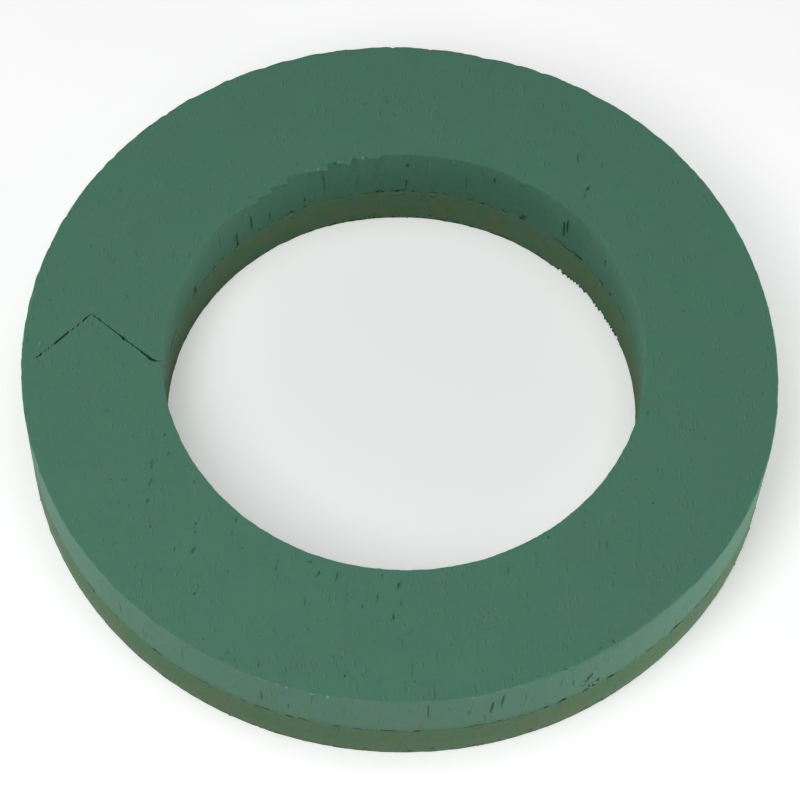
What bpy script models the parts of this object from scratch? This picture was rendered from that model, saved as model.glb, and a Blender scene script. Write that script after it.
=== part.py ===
"""Floral foam ring on a rigid backing, cut from one laminated slab.

Three rings lie on one another: a rigid foam backing, a thin bed of adhesive and a thick ring of
water-absorbing floral foam. All three are cut by the same wire, which comes in from the edge
along a chevron-shaped slit, goes round the hole and leaves the way it came.

Units are metres. +Z is up. The origin is the centre of the ring, on its underside.
"""

import math

import bmesh
import bpy
from mathutils import Matrix

# The ring
OUTER_RADIUS = 0.150
HOLE_RADIUS = 0.0955
MID_RADIUS = (OUTER_RADIUS + HOLE_RADIUS) / 2

# Its layers, from the underside up
BACKING_THICKNESS = 0.0195
ADHESIVE_THICKNESS = 0.0004
FOAM_THICKNESS = 0.0265
LAYER_GAP = 0.0003
ADHESIVE_SETBACK = 0.0008
ADHESIVE_BOTTOM = BACKING_THICKNESS + LAYER_GAP
FOAM_BOTTOM = ADHESIVE_BOTTOM + ADHESIVE_THICKNESS + LAYER_GAP
TOTAL_HEIGHT = FOAM_BOTTOM + FOAM_THICKNESS

# Rounding of the ring's edges
FOAM_EDGE_RADIUS = 0.0012
BACKING_EDGE_RADIUS = 0.0006
EDGE_SEGMENTS = 3
RING_STEPS = 120

# The slit that the cutting wire leaves. It starts and ends along a radius, and its point
# stands on the middle of the ring's width, clockwise of its ends as seen from above.
KERF = 0.0005
SLIT_ANGLE = math.radians(184.5)
CHEVRON_DEPTH = 0.0215
SLIT_LEAD = 0.0035
BEND_RADIUS = 0.006
BEND_SEGMENTS = 4
CUTTER_MARGIN = 0.006

# Faces that meet at less than this angle are shaded as one smooth surface
SMOOTH_ANGLE = math.radians(12)

# Colour, roughness and metallic value of each layer
FINISHES = {
    "wet_foam": ((0.078, 0.195, 0.132), 0.95, 0.0),
    "adhesive": ((0.030, 0.050, 0.032), 0.60, 0.0),
    "backing_foam": ((0.110, 0.150, 0.075), 0.92, 0.0),
}


def clear_scene():
    for obj in list(bpy.data.objects):
        bpy.data.objects.remove(obj, do_unlink=True)


def new_collection(name):
    collection = bpy.data.collections.new(name)
    bpy.context.scene.collection.children.link(collection)
    return collection


def new_material(name):
    colour, roughness, metallic = FINISHES[name]
    material = bpy.data.materials.new(name)
    material.use_nodes = True
    shader = material.node_tree.nodes["Principled BSDF"]
    shader.inputs["Base Color"].default_value = (*colour, 1.0)
    shader.inputs["Roughness"].default_value = roughness
    shader.inputs["Metallic"].default_value = metallic
    return material


def corner_arc(centre, radius, start, end):
    """Points of a rounded corner in the profile's plane, or the corner itself if it is sharp."""
    if radius == 0:
        return [centre]
    points = []
    for step in range(EDGE_SEGMENTS + 1):
        angle = math.radians(start + (end - start) * step / EDGE_SEGMENTS)
        points.append(
            (centre[0] + radius * math.cos(angle), centre[1] + radius * math.sin(angle))
        )
    return points


def section(inner, outer, height, top_radius, bottom_radius):
    """Outline of a ring's cross-section, running down its outer side and up its inner side."""
    top, bottom = height - top_radius, bottom_radius
    return [
        *corner_arc((outer - top_radius, top), top_radius, 90, 0),
        *corner_arc((outer - bottom_radius, bottom), bottom_radius, 0, -90),
        *corner_arc((inner + bottom_radius, bottom), bottom_radius, 270, 180),
        *corner_arc((inner + top_radius, top), top_radius, 180, 90),
    ]


def turned_ring(name, outline, bottom, collection, parent, material):
    """A closed outline at +X, turned about Z, standing with its underside at height bottom."""
    mesh = bpy.data.meshes.new(name)
    edges = [(i, (i + 1) % len(outline)) for i in range(len(outline))]
    mesh.from_pydata([(r, 0, z) for r, z in outline], edges, [])
    ring = bpy.data.objects.new(name, mesh)
    collection.objects.link(ring)
    ring.parent = parent
    ring.location.z = bottom
    ring.data.materials.append(material)
    turn = ring.modifiers.new("turn", "SCREW")
    turn.angle = math.tau
    turn.steps = RING_STEPS
    turn.render_steps = RING_STEPS
    turn.use_merge_vertices = True
    turn.merge_threshold = 0.00001
    turn.use_smooth_shade = False
    return ring


def bend(before, corner, after):
    """Points of the arc that rounds one corner of a path by BEND_RADIUS."""
    reach = []
    for end in (before, after):
        away = (end[0] - corner[0], end[1] - corner[1])
        length = math.hypot(*away)
        reach.append((away[0] / length, away[1] / length))
    cosine = reach[0][0] * reach[1][0] + reach[0][1] * reach[1][1]
    half_angle = math.acos(cosine) / 2
    tangent = BEND_RADIUS / math.tan(half_angle)
    to_centre = (reach[0][0] + reach[1][0], reach[0][1] + reach[1][1])
    scale = BEND_RADIUS / math.sin(half_angle) / math.hypot(*to_centre)
    centre = (corner[0] + to_centre[0] * scale, corner[1] + to_centre[1] * scale)
    angles = []
    for direction in reach:
        touch = (corner[0] + direction[0] * tangent, corner[1] + direction[1] * tangent)
        angles.append(math.atan2(touch[1] - centre[1], touch[0] - centre[0]))
    sweep = (angles[1] - angles[0] + math.pi) % math.tau - math.pi
    points = []
    for step in range(BEND_SEGMENTS + 1):
        angle = angles[0] + sweep * step / BEND_SEGMENTS
        points.append(
            (centre[0] + BEND_RADIUS * math.cos(angle), centre[1] + BEND_RADIUS * math.sin(angle))
        )
    return points


def slit_path():
    """The slit as seen from above, with its ends on the +X axis and its point towards -Y."""
    outside = (OUTER_RADIUS + CUTTER_MARGIN, 0)
    outer_bend = (OUTER_RADIUS - SLIT_LEAD, 0)
    point = (MID_RADIUS, -CHEVRON_DEPTH)
    inner_bend = (HOLE_RADIUS + SLIT_LEAD, 0)
    inside = (HOLE_RADIUS - CUTTER_MARGIN, 0)
    return [
        outside,
        *bend(outside, outer_bend, point),
        point,
        *bend(point, inner_bend, inside),
        inside,
    ]


def slit_cutter(collection):
    """An upright sheet along the slit's path, thickened to the width of the kerf."""
    shape = bmesh.new()
    corners = [shape.verts.new((x, y, -CUTTER_MARGIN)) for x, y in slit_path()]
    edges = [shape.edges.new(pair) for pair in zip(corners, corners[1:])]
    raised = bmesh.ops.extrude_edge_only(shape, edges=edges)["geom"]
    raised_corners = [v for v in raised if isinstance(v, bmesh.types.BMVert)]
    rise = TOTAL_HEIGHT + 2 * CUTTER_MARGIN
    bmesh.ops.translate(shape, verts=raised_corners, vec=(0, 0, rise))
    bmesh.ops.recalc_face_normals(shape, faces=shape.faces)
    mesh = bpy.data.meshes.new("slit_cutter")
    shape.to_mesh(mesh)
    shape.free()
    mesh.transform(Matrix.Rotation(SLIT_ANGLE, 4, "Z"))
    cutter = bpy.data.objects.new("slit_cutter", mesh)
    collection.objects.link(cutter)
    thicken = cutter.modifiers.new("kerf", "SOLIDIFY")
    thicken.thickness = KERF
    thicken.offset = 0
    thicken.use_even_offset = True
    cutter.hide_render = True
    cutter.display_type = "WIRE"
    return cutter


def cut(ring, cutter):
    slit = ring.modifiers.new("slit", "BOOLEAN")
    slit.operation = "DIFFERENCE"
    slit.object = cutter
    slit.solver = "EXACT"


def shade(ring):
    """Applies the turning and the cut, then shades the walls round and leaves the corners sharp."""
    evaluated = ring.evaluated_get(bpy.context.evaluated_depsgraph_get())
    mesh = bpy.data.meshes.new_from_object(evaluated)
    mesh.name = ring.name
    ring.modifiers.clear()
    ring.data = mesh
    mesh.shade_smooth()
    mesh.set_sharp_from_angle(angle=SMOOTH_ANGLE)


def build():
    clear_scene()
    parts = new_collection("floral_foam_ring")
    cutters = new_collection("cutters")
    centre = bpy.data.objects.new("ring_centre", None)
    parts.objects.link(centre)

    backing = section(
        HOLE_RADIUS, OUTER_RADIUS, BACKING_THICKNESS, 0, BACKING_EDGE_RADIUS
    )
    adhesive = section(
        HOLE_RADIUS + ADHESIVE_SETBACK, OUTER_RADIUS - ADHESIVE_SETBACK, ADHESIVE_THICKNESS, 0, 0
    )
    foam = section(HOLE_RADIUS, OUTER_RADIUS, FOAM_THICKNESS, FOAM_EDGE_RADIUS, 0)

    layers = (
        ("backing_ring", backing, 0, "backing_foam"),
        ("adhesive_layer", adhesive, ADHESIVE_BOTTOM, "adhesive"),
        ("foam_ring", foam, FOAM_BOTTOM, "wet_foam"),
    )
    cutter = slit_cutter(cutters)
    for name, outline, bottom, finish in layers:
        ring = turned_ring(name, outline, bottom, parts, centre, new_material(finish))
        cut(ring, cutter)
        shade(ring)


build()
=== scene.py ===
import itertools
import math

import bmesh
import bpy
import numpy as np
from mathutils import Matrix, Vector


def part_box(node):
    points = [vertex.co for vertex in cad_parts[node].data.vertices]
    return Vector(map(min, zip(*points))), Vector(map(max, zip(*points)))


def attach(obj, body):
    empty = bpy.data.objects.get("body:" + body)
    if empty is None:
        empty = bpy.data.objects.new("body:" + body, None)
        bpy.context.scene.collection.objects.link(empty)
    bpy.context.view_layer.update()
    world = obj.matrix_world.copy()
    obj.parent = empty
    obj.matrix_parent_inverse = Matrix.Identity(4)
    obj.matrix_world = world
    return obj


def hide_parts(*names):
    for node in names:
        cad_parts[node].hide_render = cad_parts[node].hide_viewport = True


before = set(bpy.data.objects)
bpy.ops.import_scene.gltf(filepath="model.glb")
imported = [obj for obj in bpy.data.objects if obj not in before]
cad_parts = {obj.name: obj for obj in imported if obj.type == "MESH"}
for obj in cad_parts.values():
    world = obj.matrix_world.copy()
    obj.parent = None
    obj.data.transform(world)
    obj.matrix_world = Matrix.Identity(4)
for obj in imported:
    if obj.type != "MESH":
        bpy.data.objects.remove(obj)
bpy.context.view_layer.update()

# The looks of a floral foam ring: two foams glued together, cut by a wire and a little crumbled.
#
# Each layer is built as a closed straight bar, whose x is the radius, y the share of a turn from
# one side of the slit to the other, and z the height. The bar is then bent round into the ring,
# its ends along the slit, and its surface is worn. Lengths are in metres and angles in radians,
# unless a table says otherwise.

MM = 0.001

# Sizes, from the frame

FOAM_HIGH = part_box("foam_ring")[1]
BACKING_LOW, BACKING_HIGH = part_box("backing_ring")
OUTER = FOAM_HIGH.x
HOLE = min(math.hypot(v.co.x, v.co.y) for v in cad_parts["foam_ring"].data.vertices)
MIDDLE = (OUTER + HOLE) / 2
TOP = FOAM_HIGH.z
BACKING_TOP = BACKING_HIGH.z
LAYER_GAP = 0.05 * MM
FILM_THICKNESS = 0.35 * MM
FILM_SETBACK = 0.02 * MM
FILM_LOW = BACKING_TOP + LAYER_GAP
FILM_HIGH = FILM_LOW + FILM_THICKNESS
FOAM_BOTTOM = FILM_HIGH + LAYER_GAP
GLUE_HEIGHT = BACKING_TOP + 0.2 * MM

# The slit: a chevron from rim to rim, a little unsteady, which swells and closes again. The path
# has an angle in degrees at each radius, and the widths are the least ones there; millimetres.

SLIT_ANGLE = math.radians(184.5)
SLIT_REACH = math.radians(26)
SLIT_PATH = {
    95.5: 185.3, 97: 185.2, 98.5: 185.0, 100: 184.5, 102: 183.45, 105: 181.9, 111: 179.45,
    116: 177.5, 121: 175.85, 124.9: 174.7, 129.3: 177.4, 132.7: 179.0, 135.1: 180.2,
    137.4: 181.2, 140.1: 182.4, 142.7: 183.35, 145: 184.1, 150: 184.8,
}
SLIT_WIDTHS = {
    95.5: 0.15, 98: 0.55, 100.5: 0.9, 104.4: 0.25, 108.5: 0.25, 110.2: 0.1, 113: 0.12,
    117: 0.46, 120: 0.28, 124.5: 0.3, 127.9: 0.06, 132: 0.1, 134: 0.12, 137.5: 0.04,
    142: 0.04, 143.2: 0.3, 144.7: 0.15, 145.3: 0.04, 150: 0.04,
}
# Where it gapes: radius, half length and width
SLIT_BEADS = (
    (98.7, 0.5, 0.95), (100.4, 0.5, 1.15), (103.3, 0.5, 0.8), (105.2, 0.4, 0.55),
    (107.4, 0.5, 0.7), (110.9, 0.4, 1.1), (112, 0.3, 0.5), (113.2, 0.3, 0.55), (114.5, 0.4, 0.45),
    (121.3, 0.5, 0.75), (123.4, 0.4, 0.7), (125.9, 0.4, 1.2), (127.2, 0.4, 0.85),
    (129.2, 0.3, 0.6), (131.1, 0.3, 0.5), (132.9, 0.4, 0.9), (133.9, 0.3, 0.75), (134.8, 0.3, 1),
    (136, 0.3, 1.05), (137.2, 0.3, 0.9), (138.5, 0.2, 0.4), (139.6, 0.2, 0.55), (141, 0.3, 0.4),
    (142.6, 0.4, 0.9), (144, 0.4, 0.5),
)

# Where the cutting wire wandered: angle in degrees, spread in degrees, millimetres outwards

OUTER_WANDER = ((10, 28, -2.0), (-45, 15, -0.6), (78, 7, -0.6), (128, 32, 0.6), (-125, 30, 0.4))
HOLE_WANDER = ((25, 28, 1.5), (41, 5, 0.4), (62, 12, 0.4), (98, 10, -0.3), (150, 34, -0.5),
               (-155, 34, -0.6))

# Damage. On a wall a flaw has the angle (degrees) and height of its middle, then its half width,
# half height, depth and lean. On the top it has x, y, half width, half length, depth and lean.
# Those are millimetres, the lean is the sideways share of its length, and a depth below 0 is a
# crumb or a ridge.

OUTER_FLAWS = (
    (-74.8, 34.5, 0.38, 5.5, 0.7, 0.09), (-73.3, 38.5, 0.34, 7, 0.5, 0.08),
    (-75.2, 35, 0.32, 5, -0.25, 0.09), (-73.7, 40.5, 0.32, 4.5, -0.28, 0.08),
    (-74.4, 37, 0.3, 3.5, -0.22, 0.05), (-70.4, 38, 0.32, 4, -0.22, 0),
    (-70, 36.5, 0.32, 5, 0.2, 0), (-77.7, 34, 0.32, 3.5, -0.24, 0.06),
    (-111.7, 46.4, 0.6, 0.6, -0.4, 0), (-109.7, 46.5, 0.5, 0.5, -0.35, 0),
    (-108.5, 46.5, 0.8, 0.6, -0.5, 0), (-107.5, 46.5, 1.9, 0.4, -0.4, 0),
    (-105.8, 46.5, 1.9, 0.4, -0.45, 0), (-104.4, 46.4, 1.2, 0.6, -0.5, 0),
    (-100.6, 46.4, 1.6, 0.5, -0.45, 0), (-98.4, 46.3, 0.75, 0.7, -0.7, 0),
    (-97.1, 46.4, 0.6, 0.5, -0.35, 0), (-66.4, 46.2, 0.55, 0.6, -0.28, 0),
    (-84.1, 38, 0.35, 7.5, 0.4, 0), (-108.2, 31, 0.35, 6.5, 0.4, 0),
    (-106.9, 32, 0.45, 9, -0.22, 0.02), (-104.1, 29, 0.35, 3, 0.35, 0),
    (-78.2, 33, 0.35, 4, 0.3, 0.05), (-64.4, 37.5, 0.4, 3.6, 0.3, 0.05),
    (-62.3, 33, 0.4, 4.2, 0.3, -0.1), (-59.7, 31.3, 0.75, 3, 1.6, 0.5),
    (-60.4, 26.5, 0.7, 1.4, 0.8, 0.4), (-59.4, 23, 0.6, 0.8, 0.7, 0),
    (-58.1, 24.9, 0.85, 1.2, 1.6, 0.2), (-58.7, 21.9, 1, 1.3, 1.6, 0),
    (-57.6, 22.9, 0.55, 0.7, -0.6, 0), (-59.1, 23.8, 0.45, 0.6, -0.45, 0),
    (-66.9, 21.6, 0.5, 0.6, -0.45, 0), (-43.6, 29.5, 0.5, 1.4, -0.25, 0),
    (-36.7, 22, 0.5, 0.6, -0.4, 0), (-133, 33, 0.4, 5, 0.3, 0), (-121, 36, 0.4, 6, 0.25, 0),
    (-96, 34, 0.4, 6, 0.25, 0),
)
HOLE_FLAWS = (
    (137.8, 24.5, 0.5, 6, 0.6, 0.06), (112.2, 34, 0.45, 9, 0.45, 0.06),
    (132.9, 29, 0.5, 6, 0.55, 0.04), (127.3, 25.5, 0.45, 3.6, 0.45, 0),
    (117.3, 25.5, 0.45, 2, 0.45, 0), (122.3, 31.6, 0.35, 2.8, -0.25, 0),
    (155, 23.5, 0.8, 2.2, 0.9, 0), (91.1, 25.5, 0.4, 3.6, 0.5, 0), (91, 38.1, 0.6, 0.8, 0.9, 0),
    (85.4, 38.4, 0.4, 5.6, -0.25, 0), (68.9, 39.3, 0.5, 1.9, 0.7, 0),
    (48.4, 31.5, 0.45, 6.5, 0.8, 0.05), (47.5, 34.5, 0.4, 5, 0.7, 0.03),
    (33.7, 36, 0.4, 2.4, 0.5, 0), (60.3, 22, 1.1, 1.3, 1.2, 0), (60, 21.4, 0.4, 0.5, -0.6, 0),
    (103.5, 30, 0.5, 5, 0.3, 0), (76, 32, 0.45, 5, 0.3, 0), (144, 36, 0.5, 5, 0.3, 0),
    (97.3, 44.4, 0.5, 0.6, -0.45, 0), (79.5, 44.8, 0.5, 0.6, -0.45, 0),
    (61.5, 44.2, 0.8, 0.8, 0.6, 0),
)
TOP_FLAWS = (
    (-93, -82, 0.55, 0.6, 0.58, 0), (-76, -80, 0.45, 0.5, 0.5, 0), (-83, -91, 0.4, 0.9, 0.36, 0),
    (-76, -91, 0.45, 0.5, 0.5, 0), (-74, -109, 0.5, 0.6, 0.58, 0), (-95, -71, 0.6, 1.2, 0.3, 0.3),
    (-141, 17, 0.5, 0.6, 0.5, 0), (-94, 7, 0.45, 0.55, 0.58, 0), (-127, -12, 0.4, 1.3, 0.36, 0),
    (-132, -13, 0.45, 0.6, -0.3, 0), (-125, -6, 0.35, 1.5, 0.3, 0), (-106, -72, 0.4, 1.5, 0.3, 0),
    (-95, -55, 0.35, 3, 0.35, 0), (-95, -64, 0.4, 1, 0.3, 0), (72, 82, 0.45, 0.9, 0.65, 0),
    (71, 79, 0.35, 2.5, 0.3, 0), (78, 94, 0.35, 1.9, 0.3, 0), (68, 97, 0.35, 3, 0.3, 0),
    (-16, -140, 0.5, 0.6, 0.65, 0), (-15.7, -141.4, 0.4, 0.5, -0.4, 0),
    (-48, -136, 0.3, 3, 0.3, 0), (-113, 50, 0.55, 0.5, 0.43, 0), (-114.3, 50, 0.45, 0.4, -0.3, 0),
    (-137, 38, 0.4, 2.5, -0.2, 0), (10, -141, 0.5, 0.6, 0.5, 0), (9, -136, 0.3, 4, 0.3, 0),
    (18, -130, 0.5, 1, 0.3, 0), (81, -81, 0.35, 2.5, 0.3, 0), (94, -81, 0.35, 2.2, 0.3, 0),
    (99, -85, 0.45, 0.5, 0.43, 0), (55.3, -136.9, 1.3, 0.5, 0.36, 0),
    (65.7, -133.5, 1.4, 0.5, 0.36, 0), (59.5, -135.5, 0.4, 0.4, -0.2, 0),
    (79.1, -124.2, 1.1, 0.5, 0.36, 0), (83.6, -121.2, 1, 1, 0.45, 0),
)
# Chips out of the foam's lower edge: angle and half length in degrees, and size in millimetres
OUTER_CHIPS = (
    (-151, 0.8, 0.9), (-140.5, 1.1, 1), (-126, 0.7, 0.7), (-117, 0.5, 0.7), (-111.2, 0.4, 0.7),
    (-109, 0.4, 0.9), (-107.6, 0.4, 0.9), (-104, 0.6, 0.8), (-102.2, 0.5, 0.9), (-97.2, 0.6, 1),
    (-94, 0.6, 0.9), (-89.6, 1.2, 1), (-85.3, 0.9, 0.7), (-76.6, 1, 0.6), (-73.3, 0.4, 1.1),
    (-70.2, 0.6, 0.6), (-66.5, 0.6, 1), (-63.8, 0.7, 1.4), (-60, 0.3, 1.1), (-55.3, 1, 1.5),
    (-48, 0.9, 1), (-42.8, 1.1, 1.3), (-38, 0.6, 0.9), (-34.7, 0.9, 0.9),
)
HOLE_CHIPS = (
    (171, 1.7, 0.9), (167.7, 1.6, 0.9), (155.3, 1.2, 1.3), (149.7, 1, 1), (146.4, 0.8, 1),
    (143.3, 0.8, 0.9), (137.8, 1, 1), (130.6, 0.8, 0.8), (121.3, 0.9, 1.4), (117, 0.6, 0.8),
    (105.5, 0.8, 0.8), (98, 1.3, 0.9), (93, 2.4, 0.9), (88.6, 1.1, 0.8), (84, 0.9, 0.8),
    (80.9, 0.7, 0.8), (74.6, 1.1, 0.8), (70.4, 1.1, 0.8), (65.8, 1.3, 0.8), (60.4, 1, 1.3),
    (48.3, 1.2, 0.9), (43.5, 2, 1.3), (34.2, 0.9, 1), (30.2, 0.9, 1), (24, 3.4, 0.8),
)
# Where crumbs stand on the foam's outer rim: first and last angle in degrees, height in mm
CRUMBLY_RIM = (-113, -95)
RIM_CRUMBS = ((*CRUMBLY_RIM, 0.22), (-92, -68, 0.26), (-66, -40, 0.14), (-150, -135, 0.20))
# Where they stand on its inner rim, in degrees
TORN_RIM = (99, 139)
# Lips of the foam's inner rim, which overhang the hole: where each starts and ends in degrees, and
# how far it stands out at both places in millimetres
RIM_LIPS = (
    (146.0, 139.2, 0.2, 1.2), (138.8, 132.0, 0.8, 3.4), (131.7, 127.5, 1.3, 3.1),
    (127.1, 122.5, 0.6, 2.8), (119.5, 111.9, 0.3, 3.2), (109.2, 105.5, 0.9, 2.7),
    (104.0, 98.2, 0.5, 1.5), (90.0, 80.0, 0.1, 0.5), (66.0, 61.0, 0.2, 0.9),
)
# Where the backing's lower edge is ragged, in degrees
RAGGED = (24, 51)

# Height of the lip round a pit, as a share of its depth
LIP = 0.22
# About how many random flaws there are: in the top, in each wall, and in the backing's lower edges
PINHOLES = 80
STREAKS = 130
WALL_MARKS = 34
OUTER_NICKS = 115
HOLE_NICKS = 50

# Grid of each layer's bar: steps in from its edges in millimetres, and columns round the ring
EDGE_STEPS = (0.0, 0.25, 0.5, 0.8, 1.3, 2.1)
COLUMNS = 720
# The top of a layer whose top isn't worn: higher than any point
NO_TOP = 1.0
SHARP_ANGLE = math.radians(50)


def hashed(cells, seed):
    """A repeatable number from -1 to 1 for each row of three whole numbers."""
    mixed = np.full(len(cells), seed * 7919 + 17, np.uint32)
    for axis, factor in enumerate((374761393, 668265263, 3266489917)):
        mixed ^= cells[:, axis].astype(np.uint32) * np.uint32(factor)
        mixed = (mixed ^ (mixed >> np.uint32(15))) * np.uint32(2246822519)
    mixed ^= mixed >> np.uint32(13)
    return mixed / 2147483647.5 - 1


def noise(points, size, seed):
    """Smooth noise from -1 to 1, whose bumps are about size long (one number, or one per axis)."""
    scaled = points / np.asarray(size)
    low = np.floor(scaled).astype(np.int64)
    part = scaled - low
    part = part * part * (3 - 2 * part)
    total = np.zeros(len(points))
    for corner in itertools.product((0, 1), repeat=3):
        weight = np.prod(np.where(corner, part, 1 - part), axis=1)
        total += weight * hashed(low + np.array(corner), seed)
    return total


def layered_noise(points, size, seed, octaves=3):
    """Noise with finer and fainter noise on top of it, still about -1 to 1."""
    total = np.zeros(len(points))
    for octave in range(octaves):
        total += noise(points, np.asarray(size) / 2**octave, seed + octave) / 2**octave
    return total / (2 - 0.5 ** (octaves - 1))


def smoothstep(low, high, value):
    part = np.clip((value - low) / (high - low), 0, 1)
    return part * part * (3 - 2 * part)


def turn_between(angle, centre):
    """The turn from centre to angle, from -pi to pi."""
    return (angle - centre + math.pi) % math.tau - math.pi


def bumps(angle, table):
    """The sum of bell-shaped bumps at angles in degrees, in metres."""
    total = np.zeros_like(angle)
    for centre, spread, height in table:
        turn = np.degrees(turn_between(angle, math.radians(centre)))
        total += height * MM * np.exp(-((turn / spread) ** 2))
    return total


# The slit's path


def slit_angle(radius):
    """The angle about +Z of the slit's middle."""
    places = np.array(list(SLIT_PATH)) * MM
    return np.radians(np.interp(radius, places, list(SLIT_PATH.values())))


def slit_half_turn(radius):
    """Half the gap's width, as a turn."""
    places = np.array(list(SLIT_WIDTHS)) * MM
    width = np.interp(radius, places, list(SLIT_WIDTHS.values()))
    for middle, half_length, gape in SLIT_BEADS:
        away = np.abs(radius / MM - middle) / half_length
        width = np.maximum(width, gape * (1 - smoothstep(0.7, 1.5, away)))
    width = width * MM
    slope = (slit_angle(radius + 0.5 * MM) - slit_angle(radius - 0.5 * MM)) * radius / MM
    return width / 2 * np.hypot(1, slope) / radius


# Bars, and bending them into rings


def grid_lines(low, high, spacing, wanted=()):
    """Places from low to high, close together at both ends and through the wanted ones."""
    steps = np.array([step for step in EDGE_STEPS if step * MM < (high - low) * 0.4]) * MM
    stops = [low + steps[-1], *wanted, high - steps[-1]]
    lines = [low + steps[:-1], high - steps]
    for start, end in zip(stops, stops[1:]):
        count = max(1, round((end - start) / spacing))
        lines.append(np.linspace(start, end, count, endpoint=False))
    return np.sort(np.concatenate(lines))


def ring_lines(low, high, spacing):
    """Radii of a layer's lines, with some on the slit's bends."""
    bends = [r * MM for r in SLIT_PATH if low + 2.4 * MM < r * MM < high - 2.4 * MM]
    return grid_lines(low, high, spacing, bends)


def side_quads(side, flipped):
    corners = (side[:-1, :-1], side[1:, :-1], side[1:, 1:], side[:-1, 1:])
    quads = np.stack(corners, axis=-1).reshape(-1, 4)
    return quads[:, ::-1] if flipped else quads


def bar(radii, heights, turns):
    """A closed bar as a bmesh, with the surface of a grid of these places."""
    shape = (len(radii), len(heights), len(turns))
    surface = np.zeros(shape, bool)
    for axis in range(3):
        ends = [slice(None)] * 3
        for end in (0, -1):
            ends[axis] = end
            surface[tuple(ends)] = True
    index = np.full(shape, -1)
    index[surface] = np.arange(surface.sum())
    k, m, i = np.nonzero(surface)
    points = np.stack([radii[k], turns[i], heights[m]], axis=1)
    quads = np.concatenate(
        [
            side_quads(index[:, 0, :], True),
            side_quads(index[:, -1, :], False),
            side_quads(index[0], False),
            side_quads(index[-1], True),
            side_quads(index[:, :, 0], False),
            side_quads(index[:, :, -1], True),
        ]
    )
    mesh = bpy.data.meshes.new("bar")
    mesh.from_pydata(points.tolist(), [], quads.tolist())
    shape = bmesh.new()
    shape.from_mesh(mesh)
    bpy.data.meshes.remove(mesh)
    return shape


def simplify_flat(shape, height, radii, rim_rows=4, group=8):
    """Joins the small faces of a hidden flat side into larger ones, away from rims and slit."""
    turns = sorted({round(v.co.y, 7) for v in shape.verts})
    column = {turn: i for i, turn in enumerate(turns)}
    low, high = radii[rim_rows], radii[-1 - rim_rows]
    reach = SLIT_REACH / math.tau + 0.01
    cell = {}
    for face in shape.faces:
        corners = face.verts
        if any(abs(v.co.z - height) > 1e-6 for v in corners):
            continue
        middle = face.calc_center_median()
        if low < middle.x < high and reach < middle.y < 1 - reach:
            cell[face] = min(column[round(v.co.y, 7)] for v in corners) // group
    loose = [
        edge
        for edge in shape.edges
        if all(face in cell for face in edge.link_faces)
        and len({cell[face] for face in edge.link_faces}) == 1
    ]
    bmesh.ops.dissolve_edges(shape, edges=loose, use_verts=True)


def ring_angle(radius, turn):
    """The angle about +Z of a bar's point."""
    half = slit_half_turn(radius)
    near = np.minimum(turn, 1 - turn) * math.tau / SLIT_REACH
    follow = 1 - smoothstep(0, 1, near)
    bent = (slit_angle(radius) - SLIT_ANGLE) * follow
    return SLIT_ANGLE + bent + half + turn * (math.tau - 2 * half)


def bar_points(shape):
    """The places in a bar of all its points: columns of radius, share of a turn and height."""
    return np.array([v.co[:] for v in shape.verts])


def ring_points(radius, angle, height):
    return np.stack([radius * np.cos(angle), radius * np.sin(angle), height], axis=1)


def rim_points(angle, radius):
    """Points on a flat circle, to look noise up along a rim."""
    return ring_points(np.full_like(angle, radius), angle, np.zeros_like(angle))


# Flaws


def near_side(radius, height, side, top, reach=0.01 * MM):
    """Which points lie within reach of the outer wall, of the hole's wall or of the top."""
    if side == "outer":
        return radius > OUTER - reach
    if side == "hole":
        return radius < HOLE + reach
    return height > top - reach


def side_places(radius, angle, height, side):
    """Places on one side as (across, along): on a wall round it and upwards, on the top x and y."""
    if side == "top":
        return radius * np.cos(angle), radius * np.sin(angle)
    wall = OUTER if side == "outer" else HOLE
    return turn_between(angle, SLIT_ANGLE - math.pi) * wall, height


def placed(side, table):
    """A table of flaws in metres: across, along, half width, half length, depth and lean."""
    flaws = np.array(table, float)
    if side != "top":
        wall = OUTER if side == "outer" else HOLE
        turn = turn_between(np.radians(flaws[:, 0]), SLIT_ANGLE - math.pi)
        flaws[:, 0] = turn * wall / MM
    flaws[:, :5] *= MM
    return flaws


def random_numbers(count, seed):
    """Five repeatable numbers from 0 to 1 for each of count flaws."""
    cells = np.array([(i, j, seed) for i in range(count) for j in range(5)])
    return (hashed(cells, seed).reshape(count, 5) + 1) / 2


def top_places(count, seed, dense, share, spread):
    """Radii and angles all over the top, and which to keep: the most towards one angle."""
    pick = random_numbers(count * 2, seed)
    radius = np.sqrt(HOLE**2 + pick[:, 0] * (OUTER**2 - HOLE**2))
    angle = pick[:, 1] * math.tau
    towards = np.cos(turn_between(angle, math.radians(dense)))
    return pick, radius, angle, pick[:, 2] < share + spread * towards


def scattered_pinholes():
    """Small pits in the top, closest together at the front left."""
    pick, radius, angle, kept = top_places(PINHOLES, 31, -140, 0.45, 0.35)
    inside = (radius > HOLE + 2 * MM) & (radius < OUTER - 2 * MM)
    size = (0.26 + 0.22 * pick[:, 3] ** 2) * MM
    flaws = [radius * np.cos(angle), radius * np.sin(angle), size, size * (0.8 + 0.9 * pick[:, 4])]
    flaws += [(0.16 + 0.30 * pick[:, 3]) * MM, np.zeros(len(pick))]
    return np.stack(flaws, axis=1)[kept & inside]


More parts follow.
